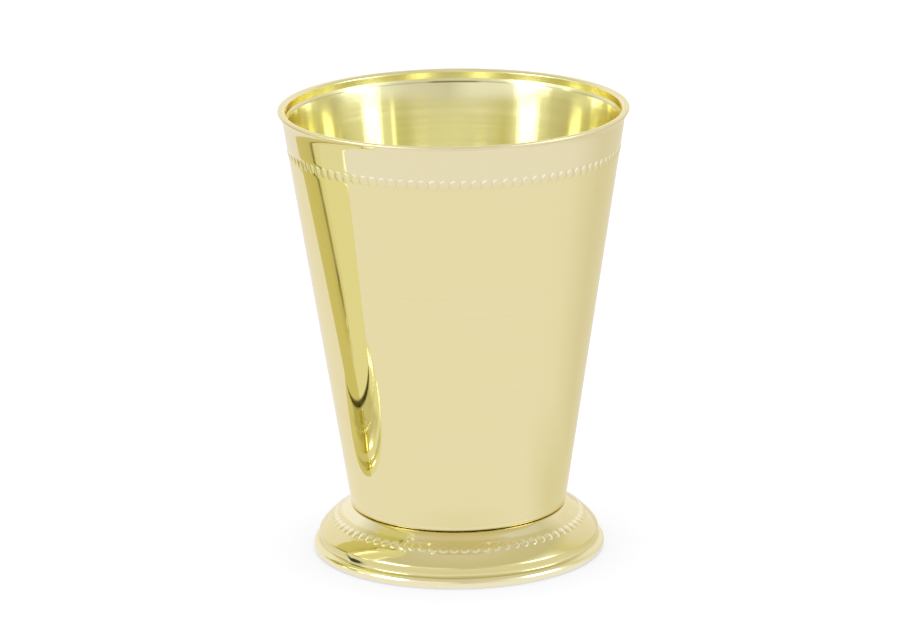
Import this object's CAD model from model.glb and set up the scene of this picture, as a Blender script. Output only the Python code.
"""A spun gold cup that widens upwards to a flared lip, soldered to a turned ring foot, with a
beaded band under the lip and another on the foot.

The axis is Z and the foot stands on z = 0. The camera looks from -Y, with +X to its right.
Shapes are worked out in millimetres. Shaders and placed objects use metres.
"""
import math
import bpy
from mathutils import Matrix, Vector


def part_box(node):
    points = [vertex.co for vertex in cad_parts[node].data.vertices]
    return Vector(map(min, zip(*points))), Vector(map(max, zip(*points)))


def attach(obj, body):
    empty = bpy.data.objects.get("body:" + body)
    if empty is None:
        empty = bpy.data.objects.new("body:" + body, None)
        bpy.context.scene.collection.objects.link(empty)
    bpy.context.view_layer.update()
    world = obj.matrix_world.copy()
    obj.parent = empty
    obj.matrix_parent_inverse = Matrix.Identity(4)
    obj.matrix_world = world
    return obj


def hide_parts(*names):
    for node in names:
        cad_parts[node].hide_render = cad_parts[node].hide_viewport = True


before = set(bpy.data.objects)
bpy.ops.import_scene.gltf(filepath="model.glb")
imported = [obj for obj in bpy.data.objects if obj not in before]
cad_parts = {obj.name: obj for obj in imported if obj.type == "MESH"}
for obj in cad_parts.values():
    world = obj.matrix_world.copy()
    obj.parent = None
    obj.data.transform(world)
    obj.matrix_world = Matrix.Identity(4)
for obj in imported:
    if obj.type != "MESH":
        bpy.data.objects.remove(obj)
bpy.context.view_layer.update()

from types import SimpleNamespace

import bpy
import numpy as np
from mathutils import Matrix, Vector

MM = 0.001
PI = math.pi
rng = np.random.default_rng(7)

# ------------------------------------------------------------------ dimensions, mm
cup_low, cup_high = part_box("cup_body")
_, foot_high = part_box("foot")
HEIGHT = cup_high.z / MM
LIP_R = cup_high.x / MM
BOTTOM_Z = cup_low.z / MM
SEAT_Z = foot_high.z / MM  # top of the foot, under the cup

SHEET = 1.20
LEAN = math.radians(8.85)  # wall from upright
SIN, COS = math.sin(LEAN), math.cos(LEAN)
WALL_REF_R, WALL_REF_Z = 25.66, 11.18  # a point on the outer wall line
CORNER_R = 0.5  # outer corner of the bottom
INNER_CORNER_R = CORNER_R + 0.9

FLARE_R = 4.5
EDGE_R = 0.45  # sets where the flare ends; the crown over it is rounder
CROWN_DROP = 0.62  # height of the crown's inner quarter
COLLAR_R = 39.62  # upright inside face of the lip
LEDGE_TOP_Z, LEDGE_LOW_Z = 105.90, 105.00  # sloping ledge under the collar
LEDGE_END_Z = 104.2
EASE_Z = 101.0  # the inner wall opens out from here to the ledge

BAND_ROWS, BAND_HALF = 31, 1.72
RIM_BEADS, RIM_Z, RIM_PHASE = 100, 98.40, 0.0
FOOT_BEADS, FOOT_Z, FOOT_R, FOOT_PHASE = 76, 8.36, 29.74, 0.5
RIM_RATIO, FOOT_RATIO = 3, 4  # band points to each plain point
POINTS_PER_BEAD = 4  # on a plain ring

SHOULDER_LEAN = math.atan(0.80 / 1.06)
FOOT_DOWN = (math.cos(SHOULDER_LEAN), -math.sin(SHOULDER_LEAN))  # (r, z) down the shoulder
FOOT_OUT = (math.sin(SHOULDER_LEAN), math.cos(SHOULDER_LEAN))
BORE_R = 19.0  # hole in the seat
BORE_EDGE_R = 0.15
SEAT_SHEET = 0.8
SKIRT_R = 33.48
ROLL_R, ROLL_CENTRE_R = 1.35, 33.50  # rolled edge that stands on the floor
ROLL_FLAT_HALF = 0.55
ROLL_FILLET = 0.45  # where the skirt meets the roll
SOLDER_OUTER_R = 24.6


def wall_r(z):
    return WALL_REF_R + (z - WALL_REF_Z) * math.tan(LEAN)


def inner_wall_r(z):
    """The inside of the wall, which opens out in its last few millimetres under the ledge."""
    t = min(1.0, max(0.0, (z - EASE_Z) / (LEDGE_LOW_Z - EASE_Z)))
    return wall_r(z) - SHEET / COS + 0.07 * t * t


# The flare is an arc that leaves the wall smoothly and touches the edge circle at the tip.
TIP_R, TIP_Z = LIP_R - EDGE_R, HEIGHT - EDGE_R
tip_offset = (TIP_R - WALL_REF_R) * COS - (TIP_Z - WALL_REF_Z) * SIN
FLARE_END = LEAN + math.acos((FLARE_R - tip_offset) / (FLARE_R + EDGE_R))
BEND_R = TIP_R + (FLARE_R + EDGE_R) * math.cos(FLARE_END)
BEND_Z = TIP_Z - (FLARE_R + EDGE_R) * math.sin(FLARE_END)


# ------------------------------------------------------------------ turned meshes
def make_object(name, verts, faces):
    mesh = bpy.data.meshes.new(name)
    mesh.from_pydata(verts, [], faces)
    mesh.validate()
    mesh.polygons.foreach_set("use_smooth", [True] * len(mesh.polygons))
    mesh.update()
    obj = bpy.data.objects.new(name, mesh)
    bpy.context.scene.collection.objects.link(obj)
    return obj


def bridge(a, count_a, b, count_b, ratio):
    """Faces between two rings, given the first vertex and the number of points of each."""
    n = max(count_a, count_b)
    if count_a == 1:
        return [(a, b + (i + 1) % n, b + i) for i in range(n)]
    if count_b == 1:
        return [(b, a + i, a + (i + 1) % n) for i in range(n)]
    if count_a == count_b:
        return [(a + i, a + (i + 1) % n, b + (i + 1) % n, b + i) for i in range(n)]
    fine_second = count_a < count_b
    coarse, fine, n = (a, b, count_a) if fine_second else (b, a, count_b)
    half = (ratio + 1) // 2
    faces = []
    for i in range(n):
        here, after = coarse + i, coarse + (i + 1) % n
        points = [fine + (i * ratio + q) % (n * ratio) for q in range(ratio + 1)]
        tris = [(here, points[q + 1], points[q]) for q in range(half)]
        tris.append((here, after, points[half]))
        tris += [(after, points[q + 1], points[q]) for q in range(half, ratio)]
        faces.extend(t if fine_second else t[::-1] for t in tris)
    return faces


def turned(name, rows, coarse, ratio, out, height):
    """A closed skin turned about Z. A row is (r, z) for a plain ring of `coarse` points, or
    (r, z, v) for a band ring of `coarse * ratio` points, raised along `out` by height(th, v)."""
    verts, faces, rings = [], [], []
    for r, z, *across in rows:
        if r < 1e-6:
            rings.append((len(verts), 1))
            verts.append((0.0, 0.0, z * MM))
            continue
        n = coarse * ratio if across else coarse
        th = 2 * PI * np.arange(n) / n
        lift = height(th, across[0]) if across else np.zeros(n)
        ring_r, ring_z = r + lift * out[0], z + lift * out[1]
        rings.append((len(verts), n))
        verts.extend(zip(ring_r * np.cos(th) * MM, ring_r * np.sin(th) * MM, ring_z * MM))
    for first, second in zip(rings, rings[1:]):
        faces += bridge(*first, *second, ratio)
    return make_object(name, verts, faces)


def smooth01(x):
    x = np.clip(x, 0, 1)
    return x * x * (3 - 2 * x)


def bead_band(count, radius, phase, slant, floor, crown, long_r, short_r, power, lopsided):
    """Returns height(th, v): the rise of a struck band over its sheet, in mm, at angle th and
    distance v across the band. `floor` is the depth sunk between beads, `crown` their height
    over the sheet, and `lopsided` flattens their side of negative v."""
    size = 1 + 0.035 * rng.standard_normal(count)
    shift = 0.03 * rng.standard_normal(count)
    lift = 1 + 0.06 * rng.standard_normal(count)
    step = 2 * PI / count

    def height(th, v):
        sunk = 1 - float(smooth01((abs(v) - 0.55) / (BAND_HALF - 0.55)))
        nearest = np.floor(th / step).astype(int) % count
        best = np.zeros(len(th))
        for neighbour in (-1, 0, 1):
            bead = (nearest + neighbour) % count
            centre = (bead + phase) * step
            turn = (th - centre + PI) % (2 * PI) - PI
            u = turn * radius + shift[bead]
            a = u * math.cos(slant) - v * math.sin(slant)
            b = u * math.sin(slant) + v * math.cos(slant)
            q = (a / (short_r * size[bead])) ** 2 + (b / (long_r * size[bead])) ** 2
            profile = np.where(q < 1, np.clip(1 - q, 0, 1) ** power, 0)
            dome = profile * (floor + crown) * lift[bead]
            dome = dome * (1 - lopsided * (1 - smooth01((b + long_r) / (1.75 * long_r))))
            best = np.maximum(best, dome)
        return np.full(len(th), -floor * sunk) + best

    return height


# ------------------------------------------------------------------ outlines, (r, z) in mm
def arc(centre_r, centre_z, radius, start, end, n):
    return [(centre_r + radius * math.cos(a), centre_z + radius * math.sin(a))
            for a in np.linspace(start, end, n)]


def corner_arc(radius, plane_z, offset, start, end, n):
    """The round between a level plane and the wall line set in by `offset`."""
    z = plane_z + radius
    return arc(wall_r(z) - offset / COS - radius / COS, z, radius, start, end, n)


def through(p0, p1, p2, n):
    """n points on the circle through three points, p0 to p2, both ends left out."""
    ax, ay = p1[0] - p0[0], p1[1] - p0[1]
    bx, by = p2[0] - p0[0], p2[1] - p0[1]
    d = 2 * (ax * by - ay * bx)
    ux = (by * (ax * ax + ay * ay) - ay * (bx * bx + by * by)) / d
    uy = (ax * (bx * bx + by * by) - bx * (ax * ax + ay * ay)) / d
    centre_r, centre_z = p0[0] + ux, p0[1] + uy
    start, middle, end = (math.atan2(p[1] - centre_z, p[0] - centre_r) for p in (p0, p1, p2))
    turn = 2 * PI
    if (middle - start) % turn <= (end - start) % turn:
        end = start + (end - start) % turn
    else:
        end = start - (start - end) % turn
    return arc(centre_r, centre_z, math.hypot(ux, uy), start, end, n + 2)[1:-1]


def rounded(points, radii, n):
    """A broken line with its inner corners rounded, n points to a corner."""
    rows = [points[0]]
    for before, at, after, radius in zip(points, points[1:], points[2:], radii):
        before, at, after = (np.array(p, float) for p in (before, at, after))
        u = (before - at) / np.linalg.norm(before - at)
        v = (after - at) / np.linalg.norm(after - at)
        half = math.acos(max(-1, min(1, float(u @ v)))) / 2
        cut = radius / math.tan(half)
        middle = at + (u + v) / np.linalg.norm(u + v) * (radius / math.sin(half) - radius)
        start, end = at + u * cut, at + v * cut
        rows += [tuple(start)] + through(start, middle, end, n) + [tuple(end)]
    return rows + [points[-1]]


def catmull(points, n):
    """Points on a smooth curve through the given ones, n to a span."""
    p = [np.array(q, float) for q in points]
    p = [2 * p[0] - p[1]] + p + [2 * p[-1] - p[-2]]
    out = []
    for a, b, c, d in zip(p, p[1:], p[2:], p[3:]):
        for t in np.linspace(0, 1, n, endpoint=False):
            out.append(0.5 * ((2 * b) + (c - a) * t + (2 * a - 5 * b + 4 * c - d) * t * t
                              + (3 * b - a - 3 * c + d) * t ** 3))
    out.append(p[-2])
    return [(float(q[0]), float(q[1])) for q in out]


def band_rows(r, z, along):
    """Rings across a beaded band centred on (r, z) that runs in the direction `along`."""
    return [(r + v * along[0], z + v * along[1], float(v))
            for v in np.linspace(-BAND_HALF, BAND_HALF, BAND_ROWS)]


def crown_rows():
    """From the outer end of the flare over the crown, down the collar and across the ledge."""
    sin_end, cos_end = math.sin(FLARE_END), math.cos(FLARE_END)
    rows = []
    for t in np.linspace(0, PI / 2 + FLARE_END, 12)[1:]:
        rows.append((
            TIP_R + EDGE_R * (math.cos(t) * cos_end + math.sin(t) * sin_end),
            TIP_Z + EDGE_R * (-math.cos(t) * sin_end + math.sin(t) * cos_end),
        ))
    top_r = rows[-1][0]
    for t in np.linspace(0, PI / 2, 12)[1:]:
        rows.append((top_r - (top_r - COLLAR_R) * math.sin(t),
                     HEIGHT - CROWN_DROP * (1 - math.cos(t))))
    collar_and_ledge = [
        (COLLAR_R, HEIGHT - CROWN_DROP - 0.1),
        (COLLAR_R - 0.02, LEDGE_TOP_Z),
        (inner_wall_r(LEDGE_LOW_Z), LEDGE_LOW_Z),
        (inner_wall_r(LEDGE_END_Z), LEDGE_END_Z),
    ]
    return rows + rounded(collar_and_ledge, radii=[0.16, 0.22], n=6)


# Radii of the rings under the bottom and on its upper face, and heights of those up the wall.
UNDERSIDE_RADII = (0, 1.5, 5, 9, 13, 17, 19.5, 22, 23.6, 24.3)
INSIDE_RADII = (23.0, 21.5, 18, 14, 10, 6, 2.5, 0)
WALL_HEIGHTS = (12.5, 13.2, 15, 18, 24, 32, 40, 48, 56, 64, 72, 80, 87, 92, 94.6, 96.0)
NECK_HEIGHTS = (100.8, 101.6, 102.8, 103.8)
INNER_HEIGHTS = (103.8, 103.4, 103.0, 102.6, 102.2, 101.8, 101.4, 101, 100, 96, 90,
                 82, 74, 66, 58, 50, 42, 34, 26, 20, 16.4, 14.9)


def cup_rows():
    rows = [(r, BOTTOM_Z) for r in UNDERSIDE_RADII]
    rows += corner_arc(CORNER_R, BOTTOM_Z, 0, -PI / 2, -LEAN, 13)
    rows += [(wall_r(z), z) for z in WALL_HEIGHTS]
    rows += band_rows(wall_r(RIM_Z), RIM_Z, (SIN, COS))
    rows += [(wall_r(z), z) for z in NECK_HEIGHTS]
    for a in np.linspace(LEAN, FLARE_END, 18):
        rows.append((BEND_R - FLARE_R * math.cos(a), BEND_Z + FLARE_R * math.sin(a)))
    rows += crown_rows()
    rows += [(inner_wall_r(z), z) for z in INNER_HEIGHTS]
    rows += corner_arc(INNER_CORNER_R, BOTTOM_Z + SHEET, SHEET, -LEAN, -PI / 2, 14)
    return rows + [(r, BOTTOM_Z + SHEET) for r in INSIDE_RADII]


# Foot outline, (r, z): the shoulder over the band, the skirt under it, and the inside upwards.
SHOULDER = [(25.45, SEAT_Z), (25.70, SEAT_Z - 0.05), (25.98, SEAT_Z - 0.17),
            (26.72, 10.54), (27.62, 9.90)]
SKIRT = [(31.96, 6.56), (32.68, 5.78), (33.20, 5.10), (33.42, 4.72), (SKIRT_R, 4.30)]
HOLLOW = [(32.15, 1.9), (32.15, 3.0), (32.15, 4.2), (31.95, 5.04), (31.30, 5.86), (30.38, 6.70),
          (29.38, 7.54), (28.34, 8.34), (27.30, 9.12), (26.40, 9.76), (25.40, 10.22),
          (24.6, 10.36)]


def foot_rows():
    """From the bore out over the seat and band, round the rolled edge and back inside."""
    bore_arc_r = BORE_R + BORE_EDGE_R
    band = band_rows(FOOT_R, FOOT_Z, FOOT_DOWN)
    rows = arc(bore_arc_r, SEAT_Z - BORE_EDGE_R, BORE_EDGE_R, PI, PI / 2, 5)
    rows += [(r, SEAT_Z) for r in (20.5, 22.5, 24.2, 25.0)]
    rows += catmull(SHOULDER + [band[0][:2]], 4)[:-1]
    rows += band
    rows += catmull([band[-1][:2]] + SKIRT, 5)[1:]

    roll_z = math.sqrt(ROLL_R ** 2 - ROLL_FLAT_HALF ** 2)
    fillet_r = SKIRT_R + ROLL_FILLET
    fillet_z = roll_z + math.sqrt((ROLL_R + ROLL_FILLET) ** 2 - (fillet_r - ROLL_CENTRE_R) ** 2)
    rows += [(SKIRT_R, 3.7), (SKIRT_R, fillet_z + 0.12)]
    fillet_end = math.atan2(roll_z - fillet_z, ROLL_CENTRE_R - fillet_r) % (2 * PI)
    rows += arc(fillet_r, fillet_z, ROLL_FILLET, PI, fillet_end, 9)
    roll_start = math.atan2(fillet_z - roll_z, fillet_r - ROLL_CENTRE_R)
    flat_angle = math.asin(roll_z / ROLL_R)
    rows += arc(ROLL_CENTRE_R, roll_z, ROLL_R, roll_start, -flat_angle, 26)[1:]
    rows += [(33.7, 0.0), (33.3, 0.0)]
    rows += arc(ROLL_CENTRE_R, roll_z, ROLL_R, -PI + flat_angle, -PI, 12)

    rows += catmull(HOLLOW, 2)
    rows += [(r, SEAT_Z - SEAT_SHEET) for r in (23.2, 21.5, 20.0)]
    rows += arc(bore_arc_r, SEAT_Z - SEAT_SHEET + BORE_EDGE_R, BORE_EDGE_R, -PI / 2, -PI, 5)
    rows.append((BORE_R, SEAT_Z - SEAT_SHEET / 2))
    rows.append(rows[0])
    return rows


def solder_piece():
    """The film between bottom and seat, run out into an uneven fillet round the seat's bore."""
    n = 360
    th = 2 * PI * np.arange(n) / n
    # waves round the ring: count, height in mm, phase
    waves = ((3, 0.10, 0.4), (7, 0.07, 2.1), (13, 0.05, 4.0), (29, 0.03, 1.0), (53, 0.015, 5.2))
    wave = sum(a * np.sin(k * th + p) for k, a, p in waves)
    section = []
    for t in np.linspace(0, 1, 9):
        a = PI / 2 * t
        section.append((BORE_R - (1.02 + wave * 0.5) * (1 - math.sin(a)),
                        BOTTOM_Z - (0.62 + wave * 0.4) * (1 - math.cos(a))))
    for r, z in ((BORE_R, SEAT_Z), (SOLDER_OUTER_R, SEAT_Z), (SOLDER_OUTER_R, BOTTOM_Z)):
        section.append((np.full(n, r), np.full(n, z)))
    verts, faces = [], []
    for r, z in section:
        verts.extend(zip(r * np.cos(th) * MM, r * np.sin(th) * MM, z * MM))
    for i in range(len(section)):
        a, b = i * n, ((i + 1) % len(section)) * n
        for j in range(n):
            after = (j + 1) % n
            faces.append((a + j, b + j, b + after, a + after))
    return make_object("solder_seam", verts, faces)


def turn_outward(obj):
    """Turns the whole skin right side out if its volume comes out negative."""
    mesh = obj.data
    mesh.calc_loop_triangles()
    coords = np.zeros(len(mesh.vertices) * 3)
    mesh.vertices.foreach_get("co", coords)
    indices = np.zeros(len(mesh.loop_triangles) * 3, np.int32)
    mesh.loop_triangles.foreach_get("vertices", indices)
    t = coords.reshape(-1, 3)[indices.reshape(-1, 3)]
    if np.einsum("ij,ij->i", t[:, 0], np.cross(t[:, 1], t[:, 2])).sum() < 0:
        mesh.flip_normals()
    mesh.update()


rim_height = bead_band(
    RIM_BEADS, wall_r(RIM_Z), RIM_PHASE, slant=0.12, floor=0.10, crown=0.12,
    long_r=1.22, short_r=1.12, power=0.8, lopsided=0.0)
foot_height = bead_band(
    FOOT_BEADS, FOOT_R, FOOT_PHASE, slant=-0.12, floor=0.0, crown=0.19,
    long_r=1.18, short_r=1.16, power=0.6, lopsided=0.85)

cup = turned("spun_cup", cup_rows(), RIM_BEADS * POINTS_PER_BEAD, RIM_RATIO,
             (COS, -SIN), rim_height)
foot = turned("ring_foot", foot_rows(), FOOT_BEADS * POINTS_PER_BEAD, FOOT_RATIO,
              FOOT_OUT, foot_height)
solder = solder_piece()


# ------------------------------------------------------------------ shader arithmetic
def forward(operation):
    return lambda self, other: self.graph.math(operation, self, other)


def backward(operation):
    return lambda self, other: self.graph.math(operation, other, self)


class Value:
    """An output socket that can be calculated with. Each operation adds one math node."""

    def __init__(self, graph, socket):
        self.graph, self.socket = graph, socket

    __add__, __radd__ = forward("ADD"), backward("ADD")
    __sub__, __rsub__ = forward("SUBTRACT"), backward("SUBTRACT")
    __mul__, __truediv__ = forward("MULTIPLY"), forward("DIVIDE")
    __pow__ = forward("POWER")
    __lt__, __gt__ = forward("LESS_THAN"), forward("GREATER_THAN")

    def __abs__(self):
        return self.graph.math("ABSOLUTE", self)


def clamped(value):
    """Clamps the math node behind a value to 0..1."""
    value.socket.node.use_clamp = True
    return value


def rise(value, start, gain):
    return clamped((value - start) * gain)


def fall(value, end, gain):
    return clamped((end - value) * gain)


def peak(offset, half, top=1.0):
    """`top` where the offset is zero, falling by one over the width `half`, clamped."""
    return clamped(top - abs(offset) / half)


class Graph:
    """The node tree of a material or world, emptied and ready to fill."""

    def __init__(self, owner):
        owner.use_nodes = True
        self.tree = owner.node_tree
        self.tree.nodes.clear()

    def add(self, kind, inputs=None, **settings):
        node = self.tree.nodes.new(kind)
        for name, setting in settings.items():
            setattr(node, name, setting)
        for key, value in (inputs or {}).items():
            socket = node.inputs[key]
            if isinstance(value, Value):
                self.tree.links.new(value.socket, socket)
            elif socket.type == "RGBA":
                socket.default_value = (*value, 1)
            else:
                socket.default_value = value
        return node

    def make(self, kind, inputs=None, out=0, **settings):
        return Value(self, self.add(kind, inputs, **settings).outputs[out])

    def math(self, operation, *values):
        return self.make("ShaderNodeMath", dict(enumerate(values)), operation=operation)

    def noise(self, vector, scale, detail=2.0, rough=0.5, distortion=0.0):
        return self.make("ShaderNodeTexNoise", {
            "Scale": scale, "Detail": detail, "Roughness": rough, "Distortion": distortion,
            "Vector": vector})

    def ramp(self, position, stops):
        node = self.add("ShaderNodeValToRGB", {0: position})
        elements = node.color_ramp.elements
        while len(elements) < len(stops):
            elements.new(0.5)
        for element, (place, colour) in zip(elements, stops):
            element.position = place
            element.color = (*colour, 1)
        return Value(self, node.outputs[0])

    def mix(self, factor, a, b, blend="MIX"):
        return self.make("ShaderNodeMix", {0: factor, 6: a, 7: b}, out=2, data_type="RGBA",
                         blend_type=blend, clamp_factor=True)

    def mix_shader(self, factor, a, b):
        return self.make("ShaderNodeMixShader", {0: factor, 1: a, 2: b})

    def emission(self, colour):
        return self.make("ShaderNodeEmission", {"Color": colour})

    def bump(self, height, distance):
        return self.make("ShaderNodeBump",
                         {"Strength": 1.0, "Distance": distance, "Height": height})

    def vec(self, x, y, z):
        return self.make("ShaderNodeCombineXYZ", {0: x, 1: y, 2: z})

    def split(self, vector):
        node = self.add("ShaderNodeSeparateXYZ", {0: vector})
        return [Value(self, socket) for socket in node.outputs]

    def bearing(self, x, y):
        """Radians round Z: 0 towards the camera, positive to its right."""
        return self.math("ARCTAN2", x, y * -1.0)

    def whole_turn(self, x, y):
        """The bearing as 0..1 from the back round by the left, 0.5 towards the camera."""
        return self.bearing(x, y) / (2 * PI) + 0.5

    def coordinates(self, name):
        return self.make("ShaderNodeTexCoord", out=name)

    def surface(self, shader):
        self.add("ShaderNodeOutputMaterial", {0: shader})


# ------------------------------------------------------------------ polished gold
GOLD = (0.832, 0.758, 0.405)
GOLD_DEEP = (0.824, 0.745, 0.380)
SPUN_GOLD = (0.97, 0.93, 0.80)  # along the spinning marks
UPPER_GOLD = (0.832, 0.772, 0.50)  # from the rim band up
EDGE_GOLD = (0.96, 0.93, 0.74)  # bottom edge of the cup
CREST_GOLD = (0.93, 0.86, 0.62)
RUBBED_GOLD = (0.95, 0.90, 0.64)
INSIDE_GOLD = ((0.815, 0.785, 0.475), (0.905, 0.877, 0.58))
TARNISH = (0.29, 0.255, 0.10)
STAIN = (0.05, 0.045, 0.015)
JOINT = (0.09, 0.08, 0.02)

SPIN_DEPTH = 0.0000006  # bump of the spinning marks, m
FAR_HALF_Y = 0.0046  # on the cup beside, the darker half begins at minus this y, m


def gold_skin(g, hair_turn):
    """Coordinates and surface patterns that the gold is built from."""
    spot = g.coordinates("Object")
    x, y, z = g.split(spot)
    r = g.math("SQRT", x * x + (y * y + 1e-9))
    round_x, round_y = x / r, y / r
    along = z + r  # distance across the spinning marks on a wall, a bottom or a shoulder

    def ringed(around, across, detail, rough=0.5):
        """Noise stretched round the piece."""
        place = g.vec(round_x * around, round_y * around, along * across)
        return g.noise(place, scale=1.0, detail=detail, rough=rough)

    marks = ringed(around=0.55, across=900.0, detail=3.0, rough=0.55)
    fine = ringed(around=1.3, across=4200.0, detail=2.0, rough=0.6)
    wave = ringed(around=0.8, across=140.0, detail=1.0)
    cloud = g.noise(spot, scale=38.0, detail=3.0, rough=0.55)
    smudge = g.noise(spot, scale=95.0, detail=4.0, rough=0.6, distortion=0.6)

    # hairlines: thin arcs left by wiping, each a narrow band of a stretched noise
    tilted = g.make("ShaderNodeMapping", {
        "Rotation": (0.4, 0.25, 0.9 + hair_turn), "Scale": (60, 420, 160), "Vector": spot})
    stretched = g.noise(tilted, scale=1.0, detail=1.0, distortion=0.8)
    hair = clamped(1.0 - abs(stretched - 0.5) * 130.0)
    hair = hair * rise(g.noise(spot, scale=70.0, detail=1.0), start=0.55, gain=5.0)
    return SimpleNamespace(x=x, y=y, z=z, r=r, marks=marks, fine=fine, wave=wave,
                           cloud=cloud, smudge=smudge, hair=hair)


def inside_mask(skin):
    """1 on the inside of the cup, parted from the outside by a line within the sheet."""
    line_r = WALL_REF_R * MM - 0.0005 + (skin.z - WALL_REF_Z * MM) * math.tan(LEAN)
    return (skin.r < line_r) * (skin.z > (BOTTOM_Z + 0.6) * MM)


def tarnish(g, skin, dirt, inside, z_mm, half_mm, amount, where):
    """Adds a dull ring at one height to the dirt."""
    distance = skin.z - z_mm * MM
    if where == "lip":
        # the crease under the lip holds polish, most of it in one short run on the far side
        run = fall(abs(skin.x - 0.0003), end=0.0068, gain=500.0) * (skin.y > 0.0)
        amount = inside * (amount + run * 1.1)
    elif where == "joint":
        # the joint over the foot is darkest near x = 0
        middle = fall(abs(skin.x), end=0.0125, gain=220.0)
        amount = amount * 0.4 + middle * (amount * 0.6)
    near = peak(distance, half_mm * MM) * (0.55 + skin.smudge * 0.6)
    return g.math("MAXIMUM", dirt, near * amount)


def neck_stain(g, skin):
    """A dark stain on the neck over the rolled edge of the foot, front left."""
    bearing = g.bearing(skin.x, skin.y)
    run = peak(bearing + math.radians(48.0), half=math.radians(9.5))
    climb = g.math("MAXIMUM", math.radians(-50.0) - bearing, 0.0) * 0.0150
    run = clamped((run ** 1.6 + (skin.smudge - 0.5) * 0.5) * (run > 0.02))
    deep_in = peak(skin.z - 0.0035 - climb, half=0.00045, top=1.35)
    return clamped(run * deep_in * 1.9)


def bead_shine(g, skin, inside, count, phase, pitch, slope, middle_z, lead, swing,
               ring_r, ring_w, spread):
    """Buffing brightens one rim of every bead in a thin crescent. Lengths are in mm and angles
    in degrees; `slope` is the distance across the band per height. The crescent's direction
    swings with the bearing, `lead` ahead of it, and `spread` is its half angle.
    Returns the crescent, the distance from the bead's centre and the place across the band."""
    around = g.math("ARCTAN2", skin.y, skin.x) / (2 * PI) + 1.0
    number = around * float(count) + (0.5 - phase)
    u = (g.math("FRACT", number) - 0.5) * pitch
    v = (skin.z - middle_z * MM) * (1000.0 * slope)
    rho = g.math("SQRT", u * u + v * v + 1e-4)
    bearing = g.bearing(skin.x, skin.y)
    psi = g.math("SINE", bearing + math.radians(lead)) * math.radians(swing)
    facing = (u * g.math("SINE", psi) + v * g.math("COSINE", psi)) / rho
    facing = rise(facing, start=math.cos(math.radians(spread)), gain=4.0)
    thin = peak(rho - ring_r, half=ring_w)
    # no two beads are buffed alike
    each = g.noise(g.vec(g.math("FLOOR", number), 3.7, 1.3), scale=1.0, detail=0.0)
    each = 0.35 + each * 1.3
    crescent = clamped(facing * thin * (each * 1.5))
    return crescent * (1.0 - inside), rho, v


def reflected_tones(g, skin, away, shader):
    """Gives the wall of the cup beside the tones it shows in the reflection: light in front and
    olive behind a thin dark line."""
    tone_at = g.mix(away, (0.88, 0.855, 0.575), (0.70, 0.645, 0.285))
    seam = peak(skin.y + FAR_HALF_Y, half=0.0021)
    uneven = g.noise(g.vec(0.0, 0.0, skin.z), scale=70.0, detail=1.0)
    low = rise(skin.z, start=0.024, gain=50.0) * (0.35 + uneven * 1.1)
    tone_at = g.mix(clamped(seam * low * 1.0), tone_at, (0.03, 0.025, 0.0))
    shine = peak(skin.y + 0.0310, half=0.0020)
    shine = shine * rise(skin.z, start=0.060, gain=120.0)
    shine = shine * fall(skin.z, end=0.079, gain=90.0)
    tone_at = g.mix(shine, tone_at, (2.2, 2.2, 2.0))
    share = rise(skin.z, start=0.0135, gain=800.0) * 0.72
    return g.mix_shader(share, shader, g.emission(tone_at))


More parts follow.
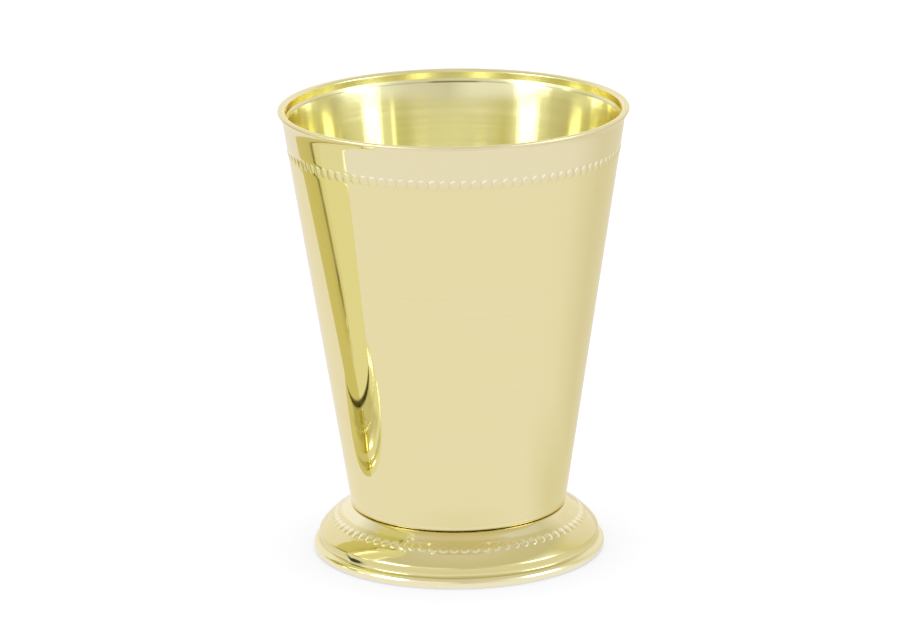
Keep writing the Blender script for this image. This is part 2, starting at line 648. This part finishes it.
def polished_gold(name, tint, deep, rough, hair_turn, tarnish_rings=(), inside_rough=0.0,
                  beads=None, bead_colour=None, pale=(), far_side=None):
    """Polished pale gold: spinning marks that run round the piece, faint cross wiping, uneven
    tint, hairline scratches, and a little darkening in the creases.
    `pale` adds the foot's bands and stain; `far_side` is the cup beside's darker half."""
    mat = bpy.data.materials.new(name)
    g = Graph(mat)
    skin = gold_skin(g, hair_turn)
    x, z, marks = skin.x, skin.z, skin.marks
    inside = inside_mask(skin) if beads else None

    # tint
    base = g.mix(rise(skin.cloud, start=0.35, gain=1.6), tint, deep)
    base = g.mix(marks * 0.10, base, SPUN_GOLD)
    base = g.mix(rise(z, start=0.0972, gain=500.0) * 0.8, base, UPPER_GOLD)
    edge = peak(z - 0.01215, half=0.00035)
    base = g.mix(edge * 0.38, base, EDGE_GOLD)
    if far_side:
        # a darker far half and a dark joint, seen only as a reflection
        away = clamped((skin.y + FAR_HALF_Y) * 500.0)
        base = g.mix(away, base, far_side)
        base = g.mix(peak(z - 0.0122, half=0.0009, top=1.6), base, JOINT)
    if inside_rough:
        base = g.mix(inside, base, g.mix(marks * 0.9, *INSIDE_GOLD))

    # dirt in the hollows and creases
    point = g.make("ShaderNodeNewGeometry", out="Pointiness")
    dirt = fall(point, end=0.497, gain=22.0) * 0.35
    for ring in tarnish_rings:
        dirt = tarnish(g, skin, dirt, inside, *ring)
    base = g.mix(dirt, base, TARNISH)
    if pale:
        caked = neck_stain(g, skin)
        base = g.mix(caked, base, STAIN)
        dirt = g.math("MAXIMUM", dirt, caked * 0.8)
    base = g.mix(rise(point, start=0.51, gain=16.0) * 0.25, base, CREST_GOLD)

    # beads and pale bands
    if beads:
        catch, rho, v = bead_shine(g, skin, inside, **beads)
        base = g.mix(catch, base, bead_colour)
    if pale:
        for low_mm, high_mm, x_end_mm, colour in pale:
            band = rise(z, start=low_mm * MM, gain=2500.0)
            band = band * fall(z, end=high_mm * MM, gain=2500.0)
            band = band * fall(x, end=x_end_mm * MM, gain=150.0)
            band = band * clamped(0.9 - caked)
            base = g.mix(band, base, colour)
        # the tops of the beads are rubbed a little paler than the sheet
        crown = fall(rho, end=beads["ring_r"] + 0.10, gain=7.0) * fall(v, end=0.15, gain=3.0)
        base = g.mix(crown * 0.9, base, RUBBED_GOLD)
        base = g.mix(catch, base, bead_colour)

    # finish
    worn_brim = rise(z, start=0.1068, gain=1500.0)  # the crown, dulled by hands and cloths
    finish = (rough + (skin.fine - 0.45) * 0.05 + clamped(skin.smudge - 0.45) * 0.16
              + skin.hair * 0.10 + dirt * 0.5 + edge * 0.16 + worn_brim * 0.34)
    finish = g.math("MAXIMUM", finish, 0.012)
    height = (marks * SPIN_DEPTH + skin.fine * (SPIN_DEPTH * 0.18)
              + skin.wave * (SPIN_DEPTH * 3.0) - skin.hair * (SPIN_DEPTH * 0.6))
    inputs = {"Metallic": 1.0, "Specular Tint": (1.0, 0.97, 0.90), "Base Color": base,
              "Normal": g.bump(height, distance=1.0)}
    if inside_rough:
        # the inside is left as it came off the lathe: fine rings smear reflections up and down
        streak = (marks - 0.5) * 0.08
        lip = rise(z, start=0.1052, gain=8000.0)
        inside_finish = inside_rough + streak + lip * 0.09
        finish = inside * inside_finish + (1.0 - inside) * finish
        inputs["Anisotropic"] = inside * (1.0 - lip) * 0.98
        inputs["Anisotropic Rotation"] = 0.25
        inputs["Tangent"] = g.make("ShaderNodeTangent", direction_type="RADIAL", axis="Z")
    inputs["Roughness"] = finish
    shader = g.make("ShaderNodeBsdfPrincipled", inputs)
    if far_side:
        shader = reflected_tones(g, skin, away, shader)
    g.surface(shader)
    return mat


def soft_solder():
    """Grey solder with brownish flux stains."""
    mat = bpy.data.materials.new("soft_solder")
    g = Graph(mat)
    spot = g.coordinates("Object")
    flow = g.noise(spot, scale=260.0, detail=4.0, rough=0.6, distortion=0.4)
    grain = g.noise(spot, scale=1500.0, detail=3.0, rough=0.6)
    flux = g.noise(spot, scale=120.0, detail=3.0, rough=0.55)
    base = g.mix(rise(flow, start=0.3, gain=1.8), (0.38, 0.37, 0.35), (0.62, 0.61, 0.58))
    base = g.mix(rise(flux, start=0.52, gain=4.0), base, (0.33, 0.25, 0.13))
    g.surface(g.make("ShaderNodeBsdfPrincipled", {
        "Metallic": 1.0, "Base Color": base, "Roughness": 0.34 + flow * 0.28,
        "Normal": g.bump(flow + grain * 0.35, distance=0.00006)}))
    return mat


# Tarnish rings: height mm, half width mm, amount, kind.
# Pale bands: from z mm, to z mm, up to x mm, colour.
gold_cup = polished_gold(
    "polished_gold_cup", GOLD, GOLD_DEEP, rough=0.028, hair_turn=0.0, inside_rough=0.10,
    tarnish_rings=[(11.42, 0.36, 0.95, "joint"), (105.12, 0.30, 0.40, "lip")],
    beads=dict(count=RIM_BEADS, phase=RIM_PHASE, pitch=2.465, slope=1 / COS, middle_z=RIM_Z,
               lead=30.0, swing=-52.0, ring_r=1.12, ring_w=0.32, spread=40.0),
    bead_colour=(1.0, 0.985, 0.80))
gold_foot = polished_gold(
    "polished_gold_foot", GOLD, GOLD_DEEP, rough=0.034, hair_turn=1.7,
    tarnish_rings=[(11.25, 0.2, 0.6, "joint"), (2.75, 0.35, 0.2, "plain")],
    beads=dict(count=FOOT_BEADS, phase=FOOT_PHASE, pitch=2.459,
               slope=-1 / math.sin(SHOULDER_LEAN), middle_z=FOOT_Z,
               lead=5.0, swing=85.0, ring_r=0.98, ring_w=0.34, spread=62.0),
    bead_colour=(1.0, 0.985, 0.84),
    pale=[(9.35, 11.3, 24.5, RUBBED_GOLD),
          (-1.0, 2.7, 60.0, (0.91, 0.86, 0.57)),
          (3.1, 4.9, 60.0, (0.73, 0.675, 0.30))])
gold_beside = polished_gold(
    "polished_gold_beside", (0.95, 0.945, 0.66), (0.93, 0.925, 0.62), rough=0.035,
    hair_turn=0.6, far_side=(0.755, 0.715, 0.32))

for obj, material, node, slot in (
    (cup, gold_cup, "cup_body", "cup_metal"),
    (foot, gold_foot, "foot", "foot_metal"),
    (solder, soft_solder(), "solder_ring", "solder"),
):
    obj.data.materials.append(material)
    turn_outward(obj)
    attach(obj, "root")
    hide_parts(node)

# ------------------------------------------------------------------ floor
FLOOR_HALF, FLOOR_Z = 9.0, -0.00002  # m

# Floor colour as the metal mirrors it: whole turn from the back (0.5 is the camera's side), RGB.
MIRRORED_FLOOR = [
    (0.0, (0.87, 0.845, 0.84)), (0.05, (0.90, 0.88, 0.90)), (0.13, (0.93, 0.905, 0.93)),
    (0.25, (0.945, 0.918, 0.945)), (0.40, (0.945, 0.918, 0.94)), (0.50, (0.942, 0.915, 0.945)),
    (0.68, (0.945, 0.918, 0.955)), (0.74, (0.93, 0.90, 0.92)), (0.83, (0.805, 0.77, 0.69)),
    (0.95, (0.825, 0.785, 0.72)), (1.0, (0.87, 0.845, 0.84)),
]


def mirrored_floor(g, spot):
    x, y, _ = g.split(spot)
    around = g.whole_turn(x, y)
    colour = g.ramp(around, MIRRORED_FLOOR)
    away = g.math("SQRT", x * x + y * y)
    # warmer near the cup, on its right and behind
    close = fall(away, end=0.105, gain=20.0)
    right_rear = rise(around, start=0.66, gain=12.0) * fall(around, end=1.0, gain=12.0)
    colour = g.mix(close * right_rear, colour, (0.83, 0.80, 0.70))
    # a slightly darker ring close in front of the foot
    ring = fall(away, end=0.054, gain=120.0) * rise(away, start=0.038, gain=350.0)
    front = clamped(1.0 - abs(around - 0.5) * 7.0)
    return g.mix(ring * front, colour, (0.90, 0.87, 0.83))


def pale_floor():
    mat = bpy.data.materials.new("pale_floor")
    g = Graph(mat)
    spot = g.coordinates("Object")
    mottle = g.noise(spot, scale=14.0, detail=4.0)
    matt = g.make("ShaderNodeBsdfDiffuse",
                  {"Color": g.mix(mottle, (0.90, 0.90, 0.90), (0.92, 0.92, 0.915))})
    rays = g.add("ShaderNodeLightPath").outputs
    camera_ray, glossy_ray = (Value(g, rays[k]) for k in ("Is Camera Ray", "Is Glossy Ray"))
    even = g.mix_shader(camera_ray * 0.6, matt, g.emission((1.02, 1.02, 1.02)))
    either = g.mix_shader(glossy_ray, even, g.emission(mirrored_floor(g, spot)))
    # seen from underneath the floor is clear, so the hollow of the foot can be looked at
    below = g.make("ShaderNodeNewGeometry", out="Backfacing")
    g.surface(g.mix_shader(below, either, g.make("ShaderNodeBsdfTransparent")))
    return mat


floor_mesh = bpy.data.meshes.new("floor")
floor_corners = [(a * FLOOR_HALF, b * FLOOR_HALF, FLOOR_Z)
                 for a, b in ((-1, -1), (1, -1), (1, 1), (-1, 1))]
floor_mesh.from_pydata(floor_corners, [], [(0, 1, 2, 3)])
floor = bpy.data.objects.new("floor", floor_mesh)
bpy.context.scene.collection.objects.link(floor)
floor_mesh.materials.append(pale_floor())

# ------------------------------------------------------------------ the cup beside
# A second cup of the same kind stands to the left, hidden from the camera; only its reflection
# shows. Its foot is stretched upwards and its body raised.
BESIDE_X, BESIDE_Y = -0.0970, -0.0050  # m
BESIDE_SCALE = 1.02
for source, lift, tall in ((cup, 0.35 * SEAT_Z * MM, 1.0), (foot, 0, 1.35)):
    twin = bpy.data.objects.new("beside_" + source.name, source.data)
    bpy.context.scene.collection.objects.link(twin)
    twin.location = (BESIDE_X, BESIDE_Y, lift)
    twin.scale = (BESIDE_SCALE, BESIDE_SCALE, tall)
    twin.visible_camera = False
    twin.visible_shadow = False
    twin.visible_diffuse = False
    twin.material_slots[0].link = "OBJECT"
    twin.material_slots[0].material = gold_beside

# ------------------------------------------------------------------ surroundings and light
STRENGTH = 1.6  # of the background; colours are divided by it

# What stands round the set up to about forty degrees: bearing in degrees, RGB.
SURROUND = [
    (-180, (1.00, 0.98, 0.97)), (-150, (0.96, 0.93, 0.93)), (-128, (0.93, 0.89, 0.86)),
    (-110, (0.77, 0.73, 0.52)), (-95, (0.82, 0.80, 0.56)), (-86, (1.05, 1.02, 0.95)),
    (-44, (1.08, 1.08, 1.10)), (-34, (0.97, 0.94, 0.93)), (-12, (0.95, 0.92, 0.92)),
    (-5, (0.84, 0.81, 0.78)), (3, (0.71, 0.67, 0.63)), (16, (0.76, 0.72, 0.69)),
    (32, (0.82, 0.78, 0.73)), (44, (0.94, 0.92, 0.89)), (54, (1.08, 1.08, 1.10)),
    (88, (1.05, 1.03, 1.0)), (98, (0.86, 0.82, 0.66)), (106, (0.76, 0.71, 0.47)),
    (118, (0.84, 0.78, 0.62)), (130, (0.88, 0.83, 0.80)), (150, (0.92, 0.89, 0.89)),
    (180, (1.00, 0.98, 0.97)),
]
# Overhead: elevation from 0 at the horizon to 1 straight up, RGB.
OVERHEAD = [
    (0.0, (0.68, 0.65, 0.50)), (0.5, (0.67, 0.64, 0.50)), (0.68, (0.70, 0.66, 0.54)),
    (0.83, (0.72, 0.68, 0.62)), (1.0, (0.78, 0.74, 0.71)),
]


def turn_at(degrees):
    return (degrees + 180) / 360


def tone(colour):
    return tuple(v / STRENGTH for v in colour)


def patch(azimuth, elevation, centre, half, soft, low, high, soft_el):
    """1 inside a rectangle of bearing and elevation in degrees, falling off over `soft`
    sideways and `soft_el` up and down."""
    distance = abs(azimuth - turn_at(centre))
    across = clamped(((half + soft) / 360 - distance) / (soft / 360))
    over = clamped((elevation - (low - soft_el) / 90) / (soft_el / 90))
    under = clamped(((high + soft_el) / 90 - elevation) / (soft_el / 90))
    return across * (over * under)


def build_world():
    """An even dome lights the floor, a mapped studio is what the metal mirrors, and the camera
    sees plain white."""
    world = bpy.data.worlds.new("tent")
    bpy.context.scene.world = world
    g = Graph(world)
    x, y, z = g.split(g.coordinates("Generated"))
    azimuth = g.whole_turn(x, y)
    elevation = g.math("ARCSINE", z) / (PI / 2)
    ambient = g.ramp(azimuth, [(turn_at(degrees), tone(c)) for degrees, c in SURROUND])
    overhead = g.ramp(elevation, [(place, tone(c)) for place, c in OVERHEAD])
    around_set = g.mix(rise(elevation, start=0.36, gain=7.0), ambient, overhead)

    left_box = patch(azimuth, elevation, centre=-59, half=11, soft=5, low=9, high=35, soft_el=5)
    right_box = patch(azimuth, elevation, centre=70, half=11, soft=7, low=9, high=29, soft_el=5)
    left_strip = patch(azimuth, elevation, centre=-92, half=1.5, soft=2.5, low=12, high=40,
                       soft_el=4)
    boxes = (left_box + right_box) * (2.9 / STRENGTH) + left_strip * 0.6
    studio = g.mix(1.0, around_set, g.vec(boxes, boxes, boxes), "ADD")

    rays = g.add("ShaderNodeLightPath").outputs
    camera_ray, glossy_ray = (Value(g, rays[k]) for k in ("Is Camera Ray", "Is Glossy Ray"))
    dome = 0.44 + g.math("MAXIMUM", z, 0.0) ** 4.0 * 3.05
    lit = g.mix(glossy_ray, g.vec(*(dome / STRENGTH for _ in range(3))), studio)
    seen = g.mix(camera_ray, lit, tone((1.0, 1.0, 1.0)))
    background = g.make("ShaderNodeBackground", {"Strength": STRENGTH, "Color": seen})
    g.add("ShaderNodeOutputWorld", {0: background})


build_world()

# ------------------------------------------------------------------ camera
CAMERA_DISTANCE = 1.1825  # m, from the point looked at
CAMERA_ELEVATION = math.radians(15.498)
CAMERA_ROLL = math.radians(-0.764)
TARGET_X, TARGET_Z = -0.00146, 0.05604  # m

camera_data = bpy.data.cameras.new("camera")
camera_data.lens = 198.87
camera_data.sensor_width = 36.0
camera_data.sensor_fit = "HORIZONTAL"
camera_data.clip_start, camera_data.clip_end = 0.05, 40.0
camera = bpy.data.objects.new("camera", camera_data)
bpy.context.scene.collection.objects.link(camera)

forward_axis = Vector((0, math.cos(CAMERA_ELEVATION), -math.sin(CAMERA_ELEVATION)))
level_right = Vector((1, 0, 0))
level_up = level_right.cross(forward_axis)
right_axis = level_right * math.cos(CAMERA_ROLL) + level_up * math.sin(CAMERA_ROLL)
up_axis = level_up * math.cos(CAMERA_ROLL) - level_right * math.sin(CAMERA_ROLL)
position = (TARGET_X, -CAMERA_DISTANCE * math.cos(CAMERA_ELEVATION),
            TARGET_Z + CAMERA_DISTANCE * math.sin(CAMERA_ELEVATION))
placement = Matrix.Identity(4)
for i in range(3):
    placement[i] = (right_axis[i], up_axis[i], -forward_axis[i], position[i])
camera.matrix_world = placement

# ------------------------------------------------------------------ render settings
scene = bpy.context.scene
scene.camera = camera
scene.view_settings.view_transform = "Standard"
scene.view_settings.look = "None"
scene.cycles.use_denoising = True
scene.cycles.max_bounces = 16
scene.cycles.glossy_bounces = 12
scene.cycles.caustics_reflective = False
scene.cycles.caustics_refractive = False
scene.cycles.sample_clamp_indirect = 8.0
